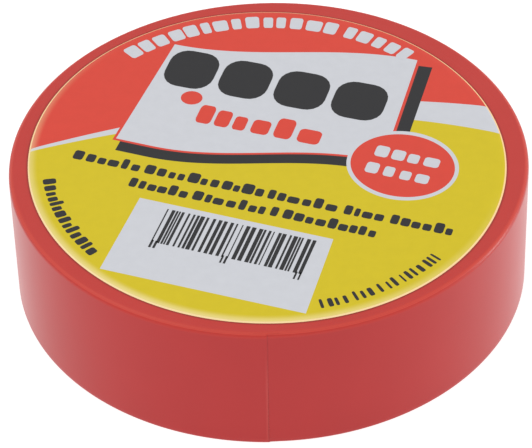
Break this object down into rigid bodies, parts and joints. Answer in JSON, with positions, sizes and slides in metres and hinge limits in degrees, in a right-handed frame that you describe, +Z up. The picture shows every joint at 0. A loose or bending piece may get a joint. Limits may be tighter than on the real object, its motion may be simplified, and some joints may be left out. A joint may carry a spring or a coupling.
{
  "type": "electrical tape roll",
  "caption": "Roll of insulating tape lying flat: a plastic strip wound on a paper core, with a round label over the top and a free end that peels away in hinged lengths.",
  "frame": {"origin": "centre of the flat face that the roll rests on, on the core's axis", "axes": "+Z up the core's axis to the label; the strip's free end is at -Y and the strip winds anticlockwise to it, seen from above"},
  "size_m": [0.0709, 0.071, 0.0192],
  "materials": {
    "kraft_board": "matte",
    "pvc_tape": "satin",
    "printed_label": "satin"
  },
  "bodies": {
    "roll": {"core_liner_ply": "kraft_board", "core_ply_2": "kraft_board", "core_ply_3": "kraft_board", "core_ply_4": "kraft_board", "core_outer_ply": "kraft_board", "tape_winding": "pvc_tape", "tape_outer_turn": "pvc_tape", "label": "printed_label"},
    "peel_1": {"free_end_1": "pvc_tape"},
    "peel_2": {"free_end_2": "pvc_tape"},
    "peel_3": {"free_end_3": "pvc_tape"},
    "peel_4": {"free_end_4": "pvc_tape"},
    "peel_5": {"free_end_5": "pvc_tape"},
    "peel_6": {"free_end_tip": "pvc_tape"}
  },
  "joints": [
    {"name": "tape_peel", "type": "hinge", "parent": "roll", "child": "peel_1", "pos_m": [-0.03066, -0.01794, 0.0095], "axis": [0, 0, -1], "range_deg": [0, 20]},
    {"name": "tape_peel_2", "type": "hinge", "parent": "peel_1", "child": "peel_2", "pos_m": [-0.0271, -0.02297, 0.0095], "axis": [0, 0, -1], "range_deg": [0, 20]},
    {"name": "tape_peel_3", "type": "hinge", "parent": "peel_2", "child": "peel_3", "pos_m": [-0.02273, -0.02731, 0.0095], "axis": [0, 0, -1], "range_deg": [0, 20]},
    {"name": "tape_peel_4", "type": "hinge", "parent": "peel_3", "child": "peel_4", "pos_m": [-0.01767, -0.03083, 0.0095], "axis": [0, 0, -1], "range_deg": [0, 20]},
    {"name": "tape_peel_5", "type": "hinge", "parent": "peel_4", "child": "peel_5", "pos_m": [-0.01209, -0.03342, 0.0095], "axis": [0, 0, -1], "range_deg": [0, 20]},
    {"name": "tape_peel_6", "type": "hinge", "parent": "peel_5", "child": "peel_6", "pos_m": [-0.00614, -0.035, 0.0095], "axis": [0, 0, -1], "range_deg": [0, 20]}
  ],
  "couplings": [
    {"joint": "tape_peel_2", "follows": "tape_peel", "ratio": 1},
    {"joint": "tape_peel_3", "follows": "tape_peel", "ratio": 1},
    {"joint": "tape_peel_4", "follows": "tape_peel", "ratio": 1},
    {"joint": "tape_peel_5", "follows": "tape_peel", "ratio": 1},
    {"joint": "tape_peel_6", "follows": "tape_peel", "ratio": 1}
  ]
}
